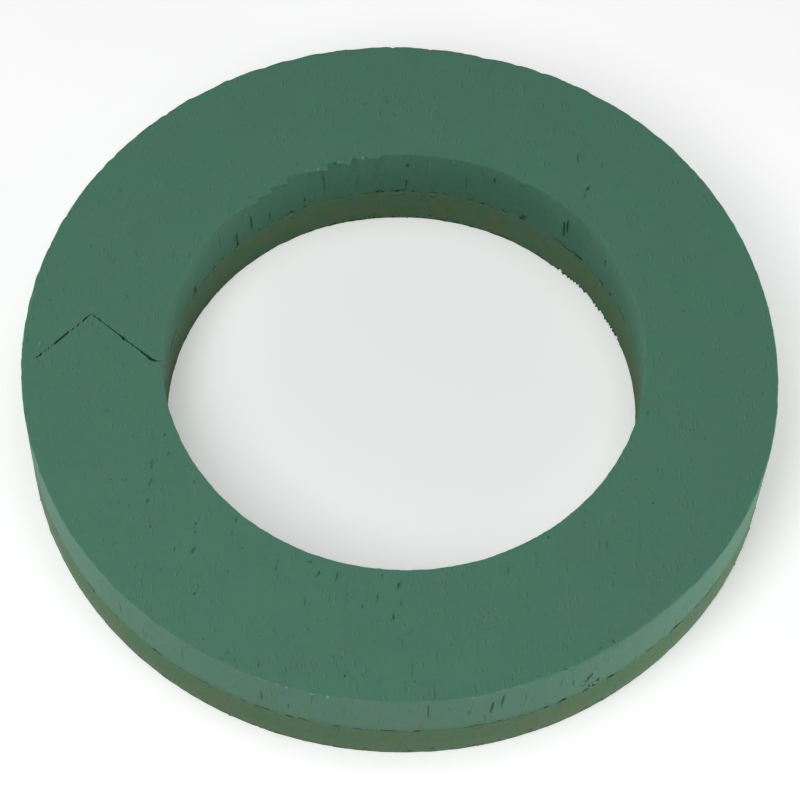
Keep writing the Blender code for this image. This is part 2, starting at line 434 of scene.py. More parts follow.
def scattered_streaks():
    """Short scratches in the top, all along Y, most with a ridge beside them."""
    pick, radius, angle, kept = top_places(STREAKS, 37, -115, 0.42, 0.34)
    radius = np.clip(radius, HOLE + 3 * MM, OUTER - 3 * MM)
    x, y = radius * np.cos(angle), radius * np.sin(angle)
    length = (0.5 + 1.4 * pick[:, 4] ** 2) * MM
    half_width, lean = np.full(len(pick), 0.32 * MM), 0.06 * (pick[:, 3] - 0.5)
    scratch = [x, y, half_width, length, (0.15 + 0.15 * pick[:, 3]) * MM, lean]
    beside = np.where(pick[:, 3] < 0.5, 0.70, -0.70) * MM
    ridge = [x + beside, y, half_width, length * 0.8, np.full(len(pick), -0.19 * MM), lean]
    return np.concatenate([np.stack(part, axis=1)[kept] for part in (scratch, ridge)])


def scattered_marks(wall, low, high, seed):
    """Upright scratches and small pits on a wall."""
    pick = random_numbers(WALL_MARKS, seed)
    across = (pick[:, 0] - 0.5) * math.tau * wall
    round_pit = pick[:, 3] < 0.3
    length = np.where(round_pit, 0.45, 1.2 + 4.0 * pick[:, 2]) * MM
    along = low + length + pick[:, 1] * (high - low - 2 * length)
    depth = np.where(round_pit, 0.40, 0.20) * MM
    width, lean = np.full(len(pick), 0.38 * MM), 0.12 * (pick[:, 4] - 0.5)
    scratch = np.stack([across, along, width, length, depth, lean], axis=1)
    ridge = np.stack([across + 0.8 * MM, along, width, length * 0.8, -0.8 * depth, lean], axis=1)
    return np.concatenate([scratch, ridge[~round_pit]])


def scattered_nicks(wall, count, seed):
    """Small nicks and crumbs in the lowest few millimetres of the backing's wall."""
    pick = random_numbers(count, seed)
    across = (pick[:, 0] - 0.5) * math.tau * wall
    along = (0.5 + 3.2 * pick[:, 1] ** 2) * MM
    half_width = (0.45 + 0.55 * pick[:, 2] ** 2) * MM
    half_height = (0.45 + 0.30 * pick[:, 3]) * MM
    depth = np.where(pick[:, 4] < 0.70, 0.75, -0.40) * MM
    return np.stack([across, along, half_width, half_height, depth, 0 * along], axis=1)


def torn_below(chips, wall):
    """A crumb and a second crack in the backing, below each of these chips."""
    table = np.array(chips, float)
    across = turn_between(np.radians(table[:, 0]), SLIT_ANGLE - math.pi) * wall
    half_width = np.radians(table[:, 1]) * wall
    none = np.zeros(len(table))
    rows = []
    for drop, share, half_height, depth in ((0.9, 0.8, 0.55, -0.45), (1.9, 0.7, 0.45, 0.60)):
        along = none + BACKING_TOP - drop * MM
        size = [share * half_width + 0.2 * MM, none + half_height * MM, none + depth * MM]
        rows.append(np.stack([across, along, *size, none], axis=1))
    return np.concatenate(rows)


def flaw_distance(across, along, flaw, margin=0.0):
    """0 in a flaw's middle, 1 on its outline."""
    at, height, half_width, half_length, _, lean = flaw
    sideways = (across - at - lean * (along - height)) / (half_width + margin)
    lengthways = (along - height) / (half_length + margin)
    return np.sqrt(sideways**2 + np.abs(lengthways) ** 2.6)


def flaw_depth(across, along, ragged, flaws):
    """How deep the flaws are at places on one side, and less than 0 on crumbs and ridges."""
    depth = np.zeros_like(across)
    for flaw in flaws:
        reach = 2.2 * (flaw[2] + flaw[3])
        close = (np.abs(across - flaw[0]) < reach) & (np.abs(along - flaw[1]) < reach)
        away = flaw_distance(across[close], along[close], flaw) + 0.25 * ragged[close]
        lip = smoothstep(1.0, 1.35, away) * (1 - smoothstep(1.35, 1.9, away))
        depth[close] += flaw[4] * (1 - smoothstep(0.25, 1.15, away) - LIP * lip)
    return depth


def total_depth(flaws, sides, radius, angle, height, ragged):
    """How deep all the flaws of a layer are at each of its points."""
    depth = np.zeros(len(radius))
    for side, table in flaws.items():
        on = sides[side]
        across, along = side_places(radius[on], angle[on], height[on], side)
        depth[on] += flaw_depth(across, along, ragged[on], table)
    return depth


def refine(shape, near, rounds):
    """Splits the faces for which near(radius, angle, height, margin) is true, finer each round."""
    for step in range(rounds):
        radius, turn, height = bar_points(shape).T
        shape.verts.index_update()
        faces = list(shape.faces)
        corners = [[v.index for v in face.verts] for face in faces]
        counts = np.array([len(c) for c in corners])
        flat = np.concatenate(corners)
        starts = np.concatenate([[0], np.cumsum(counts)[:-1]])
        middle = [np.add.reduceat(axis[flat], starts) / counts for axis in (radius, turn, height)]
        angle = ring_angle(middle[0], middle[1])
        chosen = near(middle[0], angle, middle[2], (0.7 - 0.35 * step) * MM)
        edges = {edge for face, take in zip(faces, chosen) if take for edge in face.edges}
        bmesh.ops.subdivide_edges(shape, edges=list(edges), cuts=1, use_grid_fill=True)


def near_flaws(sides, top):
    """A test for refine that finds the faces close to flaws, from {side: flaws}."""

    def near(radius, angle, height, margin):
        found = np.zeros(len(radius), bool)
        for side, flaws in sides.items():
            faces = np.nonzero(near_side(radius, height, side, top, 0.1 * MM))[0]
            across, along = side_places(radius[faces], angle[faces], height[faces], side)
            for flaw in flaws:
                reach = flaw[2] + flaw[3] + 2 * MM
                close = (np.abs(across - flaw[0]) < reach) & (np.abs(along - flaw[1]) < reach)
                inside = flaw_distance(across[close], along[close], flaw, margin) < 1
                found[faces[close][inside]] = True
        return found

    return near


def chip_sizes(angle, chips):
    """How large the chips are at each angle, in metres."""
    size = np.zeros_like(angle)
    for middle, reach, chip in chips:
        turn = np.abs(np.degrees(turn_between(angle, math.radians(middle))))
        size = np.maximum(size, chip * MM * (1 - smoothstep(reach * 0.55, reach * 1.1, turn)))
    return size


def lip_sizes(angle):
    """How far the lips of the inner rim stand out at each angle, in metres."""
    size = np.zeros_like(angle)
    for start, end, first, last in RIM_LIPS:
        share = np.degrees(turn_between(math.radians(start), angle)) / (start - end)
        inside = smoothstep(-0.06, 0.02, share) * (1 - smoothstep(1.0, 1.08, share))
        lip = first + (last - first) * np.clip(share, 0, 1) ** 1.3
        size = np.maximum(size, lip * MM * inside)
    return size


def wear_edge(radius, height, edge_radius, edge_height, size, roundness=1.0, reach=1.0):
    """Takes one edge of the section off: round for a roundness of 1, as a flat for 0.

    It is worn as far as size along the wall, and reach times as far along the flat side.
    """
    inwards = 1 if edge_radius > MIDDLE else -1
    downwards = 1 if edge_height > height.mean() else -1
    a = (edge_radius - radius) * inwards / reach
    b = (edge_height - height) * downwards
    near = (a < size) & (b < size)
    arc = np.maximum(size - np.minimum(a, b), 1e-9)
    share = (1 + (a - b) / arc) / 2
    round_a, round_b = 1 - np.cos(share * math.pi / 2), 1 - np.sin(share * math.pi / 2)
    worn_a = size - arc * (1 - roundness * round_a - (1 - roundness) * share)
    worn_b = size - arc * (1 - roundness * round_b - (1 - roundness) * (1 - share))
    worn_radius = np.where(near, edge_radius - inwards * reach * worn_a, radius)
    return worn_radius, np.where(near, edge_height - downwards * worn_b, height)


def wander(radius, angle):
    """How far the cut lies from a true circle."""
    share = np.clip((radius - HOLE) / (OUTER - HOLE), 0, 1)
    return share * bumps(angle, OUTER_WANDER) + (1 - share) * bumps(angle, HOLE_WANDER)


def within(angle, first, last, soft=1.5):
    """1 between two angles in degrees and 0 outside them, with soft ends."""
    turn = np.degrees(turn_between(angle, math.radians((first + last) / 2)))
    half = (last - first) / 2
    return 1 - smoothstep(half - soft, half + soft, np.abs(turn))


def vertex_normals(shape, points):
    """Normals of the bar's points once they stand at the given places."""
    mesh = bpy.data.meshes.new("normals")
    shape.to_mesh(mesh)
    mesh.vertices.foreach_set("co", points.astype(np.float32).ravel())
    mesh.update()
    normals = np.empty(len(points) * 3, np.float32)
    mesh.vertex_normals.foreach_get("vector", normals)
    bpy.data.meshes.remove(mesh)
    return normals.reshape(-1, 3).astype(float)


def new_object(name, data):
    made = bpy.data.objects.new(name, data)
    bpy.context.scene.collection.objects.link(made)
    return made


def new_piece(name, shape, points, painted_shade_and_highlight, material):
    """An object from a bar's faces, with its points moved to their places in the ring."""
    mesh = bpy.data.meshes.new(name)
    shape.to_mesh(mesh)
    shape.free()
    mesh.vertices.foreach_set("co", points.astype(np.float32).ravel())
    mesh.update()
    mesh.shade_smooth()
    mesh.set_sharp_from_angle(angle=SHARP_ANGLE)
    # Where shade and highlights are painted into the colour
    mesh.attributes.new("painted_shade_and_highlight", "FLOAT", "POINT").data.foreach_set("value", painted_shade_and_highlight.astype(np.float32))
    mesh.materials.append(material)
    return new_object(name, mesh)


# The layers


def near_rims(radius, angle, height, margin):
    """Faces on the foam's rims where many crumbs stand."""
    high = height > TOP - 1.2 * MM
    front = (radius > OUTER - 1.2 * MM) & (within(angle, *CRUMBLY_RIM) > 0.5)
    back = (radius < HOLE + 1.2 * MM) & (within(angle, *TORN_RIM) > 0.5)
    return high & (front | back)


def near_slit(radius, angle, height, margin):
    """Faces of the foam's top along the slit."""
    away = np.abs(turn_between(angle, slit_angle(radius))) * radius
    return (height > TOP - 0.1 * MM) & (away < MM)


def rim_damage(points, radius, angle, height):
    """How deep the foam's upper rims are nibbled, and less than 0 on their crumbs."""
    on_rim = 1 - smoothstep(0.5 * MM, 1.5 * MM, np.hypot(OUTER - radius, TOP - height))
    crumbs = np.zeros(len(points))
    for first, last, height_mm in RIM_CRUMBS:
        crumbs += height_mm * MM * within(angle, first, last)
    depth = -crumbs * on_rim * np.clip(noise(points, 0.9 * MM, 53), -0.4, 1)
    on_hole_rim = 1 - smoothstep(0.6 * MM, 1.8 * MM, np.hypot(radius - HOLE, TOP - height))
    crumbs = within(angle, *TORN_RIM, 3) * np.clip(noise(points, MM, 54) - 0.15, 0, 1)
    depth -= 0.42 * MM * crumbs * on_hole_rim
    nibbles = np.clip(noise(rim_points(angle, OUTER), (3.5 * MM, 3.5 * MM, MM), 55), 0, 1)
    depth += 0.45 * MM * nibbles * on_rim * within(angle, 55, 150, 8)
    spots = smoothstep(0.35, 0.60, noise(points, 1.1 * MM, 56))
    return depth + 0.35 * MM * spots * on_rim * within(angle, 50, 205, 8)


def uneven_cut(points, wall, top):
    """How far the wire strayed into the foam's walls and top."""
    uneven = 0.10 * MM * noise(points, (4 * MM, 4 * MM, 22 * MM), 57)
    uneven += 0.05 * MM * noise(points, (1.9 * MM, 1.9 * MM, 9 * MM), 58)
    planed = 0.09 * MM * noise(points, (22 * MM, 60 * MM, 20 * MM), 59)
    planed += 0.02 * MM * noise(points, (3 * MM, 16 * MM, 20 * MM), 60)
    return wall * uneven + top * planed


def build_foam(material):
    tables = {
        "outer": (placed("outer", OUTER_FLAWS), scattered_marks(OUTER, FOAM_BOTTOM, TOP, 41)),
        "hole": (placed("hole", HOLE_FLAWS), scattered_marks(HOLE, FOAM_BOTTOM, TOP, 43)),
        "top": (placed("top", TOP_FLAWS), scattered_pinholes(), scattered_streaks()),
    }
    flaws = {side: np.concatenate(parts) for side, parts in tables.items()}
    radii = ring_lines(HOLE, OUTER, 2.5 * MM)
    heights = grid_lines(FOAM_BOTTOM, TOP, 2.1 * MM)
    shape = bar(radii, heights, np.linspace(0, 1, COLUMNS))
    simplify_flat(shape, FOAM_BOTTOM, radii)
    refine(shape, near_flaws(flaws, TOP), 2)
    refine(shape, near_rims, 1)
    refine(shape, near_slit, 3)
    radius, turn, height = bar_points(shape).T
    angle = ring_angle(radius, turn)

    sides = {side: near_side(radius, height, side, TOP) for side in flaws}
    flat_radius, flat_height = radius, height

    # The outer rim is cut clean, and the hole's rim is torn into lips at the back left
    outer_rim, hole_rim = rim_points(angle, OUTER), rim_points(angle, HOLE)
    size = (0.50 + 0.30 * noise(outer_rim, 4 * MM, 21) + 1.3 * within(angle, -74, -44, 6)) * MM
    radius, height = wear_edge(radius, height, OUTER, TOP, size)
    size = (0.28 + 0.2 * noise(hole_rim, 3 * MM, 23)) * MM
    radius, height = wear_edge(radius, height, HOLE, TOP, size)
    lips = lip_sizes(angle) * (1 + 0.20 * noise(hole_rim, 1.6 * MM, 24))
    lips = lips * smoothstep(TOP - 6 * MM, TOP - 0.4 * MM, flat_height)
    radius = radius - lips * (1 - smoothstep(0, 9 * MM, flat_radius - HOLE))

    # Chips out of the lower edges, along the glue, with painted shade in them
    chip_shade = np.zeros(len(radius))
    lower_edges = ((OUTER, outer_rim, OUTER_CHIPS, 25), (HOLE, hole_rim, HOLE_CHIPS, 28))
    for edge, rim, chips, seed in lower_edges:
        small = np.clip(0.05 + 0.20 * layered_noise(rim, 5 * MM, seed), 0.02, 1) * MM
        chip = 1.05 * chip_sizes(angle, chips) * (1 + 0.45 * noise(rim, 0.9 * MM, seed + 1))
        radius, height = wear_edge(
            radius, height, edge, FOAM_BOTTOM, np.maximum(small, chip), 0.3, 1.5
        )
        from_chip = (flat_height - FOAM_BOTTOM) / np.maximum(chip, 0.01 * MM)
        on_wall = np.abs(flat_radius - edge) < 0.01 * MM
        chip_shade += on_wall * (chip > 0.2 * MM) * (1 - smoothstep(0.7, 1.8, from_chip))

    jagged = 0.10 * MM * noise(rim_points(angle, MIDDLE), 1.2 * MM, 50)
    jagged = jagged * smoothstep(TOP - 3 * MM, TOP, flat_height)
    wandered = radius + wander(radius, angle) + jagged
    points = ring_points(wandered, angle, height)
    normals = vertex_normals(shape, points)

    ragged = noise(points, 0.7 * MM, 51)
    depth = total_depth(flaws, sides, flat_radius, angle, flat_height, ragged)
    depth += rim_damage(points, flat_radius, angle, flat_height)
    depth += uneven_cut(points, sides["outer"] | sides["hole"], sides["top"])

    points = points - normals * depth[:, None]
    points[:, 2] = np.clip(points[:, 2], FOAM_BOTTOM, None)
    # Painted shade in pits, and a painted highlight on crumbs, which are partly paler broken foam
    painted_shade_and_highlight = np.clip(-depth / (0.5 * MM), -1, 1)
    painted_shade_and_highlight = np.where(np.abs(depth) > 0.12 * MM, painted_shade_and_highlight, 0)
    # Painted shade along the slit's edges on the top
    half = slit_half_turn(flat_radius)
    gap = (np.abs(turn_between(angle, slit_angle(flat_radius))) - half) * flat_radius
    slit_shade = sides["top"] * (1 - smoothstep(0.05 * MM, 0.45 * MM, gap))
    slit_shade = slit_shade * smoothstep(0.10 * MM, 0.38 * MM, half * flat_radius)
    painted_shade_and_highlight = np.clip(painted_shade_and_highlight - 0.55 * chip_shade - 0.9 * slit_shade, -1, 1)
    return new_piece("foam_body", shape, points, painted_shade_and_highlight, material)


def near_ragged(radius, angle, height, margin):
    """Faces of the backing's lower inner edge where it is ragged."""
    low = (radius < HOLE + 1.5 * MM) & (height < 3 * MM)
    return low & (within(angle, *RAGGED) > 0)


def build_backing(material):
    flaws = {}
    for side, wall, nicks, chips, seed in (
        ("outer", OUTER, OUTER_NICKS, OUTER_CHIPS[1::2], 45),
        ("hole", HOLE, HOLE_NICKS, HOLE_CHIPS[::2], 47),
    ):
        marks = scattered_marks(wall, BACKING_LOW.z, BACKING_TOP, seed)
        nicked = scattered_nicks(wall, nicks, seed + 1)
        flaws[side] = np.concatenate([marks, nicked, torn_below(chips, wall)])
    radii = ring_lines(HOLE, OUTER, 5 * MM)
    heights = grid_lines(BACKING_LOW.z, BACKING_TOP, 1.6 * MM)
    shape = bar(radii, heights, np.linspace(0, 1, COLUMNS))
    simplify_flat(shape, BACKING_TOP, radii)
    simplify_flat(shape, BACKING_LOW.z, radii)
    refine(shape, near_flaws(flaws, NO_TOP), 2)
    refine(shape, near_ragged, 2)
    radius, turn, height = bar_points(shape).T
    angle = ring_angle(radius, turn)
    sides = {side: near_side(radius, height, side, NO_TOP) for side in flaws}
    flat_radius, flat_height = radius, height

    outer_rim, hole_rim = rim_points(angle, OUTER), rim_points(angle, HOLE)
    for edge, rim, seed in ((OUTER, outer_rim, 61), (HOLE, hole_rim, 65)):
        size = np.clip(0.05 + 0.20 * layered_noise(rim, 4 * MM, seed), 0.02, 1) * MM
        radius, height = wear_edge(radius, height, edge, BACKING_TOP, size)
        size = np.clip(0.35 + 0.45 * layered_noise(rim, 3 * MM, seed + 2), 0.08, 1) * MM
        radius, height = wear_edge(radius, height, edge, BACKING_LOW.z, size)

    points = ring_points(radius + wander(radius, angle), angle, height)
    normals = vertex_normals(shape, points)
    ragged = noise(points, 0.7 * MM, 71)
    depth = 0.8 * total_depth(flaws, sides, flat_radius, angle, flat_height, ragged)
    wall = (sides["outer"] | sides["hole"]).astype(float)
    depth += wall * 0.06 * MM * noise(points, 2.6 * MM, 73)
    depth += wall * 0.05 * MM * noise(points, (3 * MM, 3 * MM, 18 * MM), 74)
    points = points - normals * depth[:, None]

    # Torn teeth along the lower edge of the hole
    low = within(angle, *RAGGED)
    low = low * (1 - smoothstep(0.5 * MM, 2.4 * MM, flat_height))
    low = low * (1 - smoothstep(0.4 * MM, 1.5 * MM, flat_radius - HOLE))
    place = angle * HOLE / (2.7 * MM) + 1.5 * noise(hole_rim, 7 * MM, 75)
    tooth, share = np.divmod(place, 1)
    cells = np.stack([tooth, tooth * 0, tooth * 0], axis=1).astype(np.int64)
    length = 0.60 + 0.50 * hashed(cells, 76)
    torn = 0.35 * noise(hole_rim, 0.8 * MM, 77)
    shift = low * (length * (1.6 * share - 0.55) + torn) * MM
    points[:, 0] += shift * np.cos(angle)
    points[:, 1] += shift * np.sin(angle)
    points[:, 2] = np.clip(points[:, 2], BACKING_LOW.z, BACKING_TOP)
    # Painted shade in the nicks and torn teeth, and a painted highlight on the crumbs
    painted_shade_and_highlight = np.clip(-depth / (0.4 * MM) - np.abs(shift) / (0.8 * MM), -1, 1)
    return new_piece("backing_body", shape, points, painted_shade_and_highlight, material)


def build_film(material):
    radii = ring_lines(HOLE + FILM_SETBACK, OUTER - FILM_SETBACK, 6 * MM)
    shape = bar(radii, np.array([FILM_LOW, FILM_HIGH]), np.linspace(0, 1, COLUMNS))
    simplify_flat(shape, FILM_LOW, radii)
    simplify_flat(shape, FILM_HIGH, radii)
    radius, turn, height = bar_points(shape).T
    angle = ring_angle(radius, turn)
    outer_edge = 1 - smoothstep(0, 2 * MM, OUTER - FILM_SETBACK - radius)
    hole_edge = 1 - smoothstep(0, 2 * MM, radius - HOLE - FILM_SETBACK)
    recess = 0.28 * MM * np.clip(layered_noise(rim_points(angle, MIDDLE), 4 * MM, 81), 0, 1)
    radius = radius + wander(radius, angle) - (outer_edge - hole_edge) * recess
    points = ring_points(radius, angle, height)
    return new_piece("glue_film", shape, points, np.zeros(len(points)), material)


# Materials

FOAM_TOP_COLOUR = (0.060, 0.171, 0.114)
# The outer wall is paler than the top: partly its paler cut face, partly a painted grazing sheen
FOAM_OUTER_CUT_AND_SHEEN_COLOUR = (0.080, 0.188, 0.133)
# The hole's wall: the top's colour darkened with painted shade
FOAM_HOLE_SHADE_COLOUR = (0.047, 0.150, 0.096)
# Crumbs: partly paler broken foam, partly a painted highlight
FOAM_CRUMB_HIGHLIGHT_COLOUR = (0.200, 0.360, 0.270)
# Painted shade in the foam's pits, chips and slit
FOAM_PIT_SHADE_COLOUR = (0.012, 0.060, 0.036)
FOAM_LOW_BAND_TINT = (0.95, 0.87, 0.74)
BACKING_COLOUR = (0.066, 0.149, 0.077)
BACKING_BROWN = (0.084, 0.143, 0.077)
BACKING_MOSS_TINT = (0.97, 1.01, 0.80)
# Dust on the backing's lower outer band; on its crumbs also a painted highlight
BACKING_DUST_AND_HIGHLIGHT = (0.135, 0.195, 0.123)
# Painted shade in the backing's pits, nicks and torn teeth
BACKING_PIT_SHADE_COLOUR = (0.014, 0.036, 0.018)
BORDER_COLOUR = (0.064, 0.158, 0.096)
FILM_COLOUR = (0.072, 0.165, 0.098)
# Painted shade of the groove between the foams, laid on the glue in patches
FILM_SHADE_COLOUR = (0.018, 0.055, 0.032)


class Nodes:
    """The nodes of one material. An input is a number, a colour or another node's output."""

    def __init__(self, name):
        self.material = bpy.data.materials.new(name)
        self.material.use_nodes = True
        self.tree = self.material.node_tree
        self.shader = self.tree.nodes["Principled BSDF"]

    def feed(self, socket, value):
        if isinstance(value, bpy.types.NodeSocket):
            self.tree.links.new(value, socket)
        elif isinstance(value, tuple) and len(value) == 3 and socket.type == "RGBA":
            socket.default_value = (*value, 1)
        else:
            socket.default_value = value

    def add(self, kind, inputs, output=0, **settings):
        made = self.tree.nodes.new("ShaderNode" + kind)
        for name, value in settings.items():
            setattr(made, name, value)
        for name, value in inputs.items():
            self.feed(made.inputs[name], value)
        return made.outputs[output]

    def math(self, operation, a, b=0.0):
        return self.add("Math", {0: a, 1: b}, operation=operation)

    def total(self, *values):
        result = values[0]
        for value in values[1:]:
            result = self.math("ADD", result, value)
        return result

    def times(self, a, b):
        return self.math("MULTIPLY", a, b)

    def fade(self, value, start, end, low=0.0, high=1.0):
        """low where value is start, high where it is end, and smooth between them."""
        inputs = {"Value": value, "From Min": start, "From Max": end, "To Min": low, "To Max": high}
        return self.add("MapRange", inputs, interpolation_type="SMOOTHSTEP")

    def shade(self, value, share, factor):
        """value where share is 0, and factor times as much where it is 1."""
        return self.times(value, self.fade(share, 0.0, 1.0, 1.0, factor))

    def mix(self, share, a, b, blend="MIX"):
        return self.add("Mix", {0: share, 6: a, 7: b}, 2, data_type="RGBA", blend_type=blend)

    def tint(self, colour, factors):
        return self.mix(1.0, colour, factors, "MULTIPLY")

    def noise(self, place, size, detail=2.0):
        inputs = {"Vector": place, "Scale": 1 / size, "Detail": detail, "Roughness": 0.55}
        return self.add("TexNoise", inputs, "Fac")

    def cells(self, place, size, feature="F1"):
        inputs = {"Vector": place, "Scale": 1 / size}
        return self.add("TexVoronoi", inputs, "Distance", feature=feature)

    def around(self, value, spread):
        """A number about 1 from a noise value about 0.5."""
        return self.add("Math", {0: value, 1: spread, 2: 1 - spread / 2}, operation="MULTIPLY_ADD")

    def scale(self, colour, factor):
        return self.add("VectorMath", {0: colour, "Scale": factor}, operation="SCALE")

    def finish(self, colour, height, roughness):
        self.feed(self.shader.inputs["Base Color"], colour)
        self.feed(self.shader.inputs["Roughness"], roughness)
        bump = self.add("Bump", {"Height": height, "Distance": 1.0})
        self.feed(self.shader.inputs["Normal"], bump)
        return self.material


def surface_places(nodes):
    """Place, height, shares of wall and outer wall, and a place that stretches scratches."""
    place = nodes.add("TexCoord", {}, "Object")
    split = nodes.add("SeparateXYZ", {0: place}).node.outputs
    facing = nodes.add("NewGeometry", {}, "True Normal")
    upward = nodes.math("ABSOLUTE", nodes.add("SeparateXYZ", {0: facing}, 2))
    wall = nodes.fade(upward, 0.80, 0.96, 1.0, 0.0)
    flat_place = nodes.add("CombineXYZ", {0: split[0], 1: split[1]})
    radius = nodes.add("VectorMath", {0: flat_place}, "Value", operation="LENGTH")
    outer = nodes.times(wall, nodes.fade(radius, MIDDLE - MM, MIDDLE + MM))
    y = nodes.times(split[1], nodes.fade(wall, 0.0, 1.0, 0.22, 1.0))
    z = nodes.times(split[2], nodes.fade(wall, 0.0, 1.0, 1.0, 0.14))
    stretched = nodes.add("CombineXYZ", {0: split[0], 1: y, 2: z})
    return place, split[2], wall, outer, stretched


def near_glue(nodes, place, height, reach):
    """1 at the glue between the foams and 0 beyond about reach from it, unevenly."""
    away = nodes.math("ABSOLUTE", nodes.math("SUBTRACT", height, GLUE_HEIGHT))
    soft = nodes.times(nodes.noise(place, 1.8 * MM, 3.0), 2 * reach)
    return nodes.fade(nodes.math("SUBTRACT", away, soft), reach * 0.1, -reach * 0.9)


def paint_shade_and_highlight(nodes, colour, pit_shade, crumb_highlight):
    """Paints shade into the pits and recesses, and paints the crumbs paler, partly their broken
    colour and partly a painted highlight, as the mesh's attribute marks.
    """
    painted_shade_and_highlight = nodes.add("Attribute", {}, "Fac", attribute_name="painted_shade_and_highlight")
    colour = nodes.mix(nodes.fade(painted_shade_and_highlight, -0.15, -1.0, 0.0, 0.75), colour, pit_shade)
    return nodes.mix(nodes.fade(painted_shade_and_highlight, 0.15, 1.0, 0.0, 0.70), colour, crumb_highlight)


def foam_material():
    nodes = Nodes("wet_foam")
    place, height, wall, outer, stretched = surface_places(nodes)

    # The walls take the hole's painted shade, and the outer wall its partly painted sheen
    colour = nodes.mix(wall, FOAM_TOP_COLOUR, FOAM_HOLE_SHADE_COLOUR)
    colour = nodes.mix(outer, colour, FOAM_OUTER_CUT_AND_SHEEN_COLOUR)
    patches = nodes.noise(place, 14 * MM)
    greener = nodes.tint(colour, (0.90, 1.03, 0.99))
    colour = nodes.mix(nodes.fade(patches, 0.40, 0.65, 0.0, 0.8), colour, greener)
    greyer = nodes.tint(colour, (1.13, 0.98, 1.01))
    greyish = nodes.fade(nodes.noise(place, 11 * MM), 0.50, 0.64, 0.0, 0.8)
    colour = nodes.mix(nodes.times(greyish, wall), colour, greyer)
    yellower = nodes.tint(colour, (1.01, 1.01, 0.91))
    yellowish = nodes.fade(nodes.noise(place, 8 * MM), 0.48, 0.60, 0.0, 1.0)
    colour = nodes.mix(nodes.times(yellowish, outer), colour, yellower)
    # The foam's lowest few millimetres are tinted darker and yellower, most on the outer wall
    low_band = nodes.total(height, nodes.times(nodes.noise(place, 5 * MM), -4 * MM))
    low_band = nodes.fade(low_band, FOAM_BOTTOM + 3 * MM, FOAM_BOTTOM - 2 * MM)
    tinted = nodes.tint(colour, FOAM_LOW_BAND_TINT)
    colour = nodes.mix(nodes.times(low_band, nodes.fade(outer, 0.0, 1.0, 0.35, 1.0)), colour, tinted)
    colour = nodes.mix(near_glue(nodes, place, height, 2.0 * MM), colour, BORDER_COLOUR)

    mottle = nodes.around(nodes.noise(place, 24 * MM), 0.07)
    mottle = nodes.times(mottle, nodes.around(nodes.noise(place, 3.5 * MM, 3.0), 0.09))
    grain = nodes.noise(place, 0.55 * MM, 3.0)
    mottle = nodes.times(mottle, nodes.around(grain, 0.12))

    # Short scratches: painted shade in each, and a painted highlight just beside it
    streaky = nodes.fade(nodes.noise(place, 9 * MM, 1.0), 0.42, 0.62, 0.15, 1.0)
    beside = nodes.add("VectorMath", {0: stretched, 1: (0.6 * MM, 0.1 * MM, 0)}, operation="ADD")
    streak_shade, streak_highlight = (
        nodes.times(nodes.fade(nodes.noise(where, 0.75 * MM, 1.0), 0.61, 0.70), streaky)
        for where in (stretched, beside)
    )
    mottle = nodes.shade(mottle, streak_shade, 0.84)
    mottle = nodes.shade(mottle, streak_highlight, 1.13)

    # Pinholes, sunk into the relief and darkened with painted shade
    shaded_pinholes = nodes.fade(nodes.cells(place, 4 * MM), 0.045, 0.085, 1.0, 0.0)
    mottle = nodes.shade(mottle, shaded_pinholes, 0.80)
    colour = paint_shade_and_highlight(nodes, nodes.scale(colour, mottle), FOAM_PIT_SHADE_COLOUR, FOAM_CRUMB_HIGHLIGHT_COLOUR)

    relief = nodes.total(
        nodes.times(nodes.cells(place, 0.42 * MM), 0.030 * MM),
        nodes.times(grain, 0.05 * MM),
        nodes.times(nodes.noise(stretched, 0.9 * MM, 2.0), 0.06 * MM),
        nodes.times(streak_shade, -0.10 * MM),
        nodes.times(streak_highlight, 0.06 * MM),
        nodes.times(shaded_pinholes, -0.25 * MM),
    )
    return nodes.finish(colour, relief, 0.95)


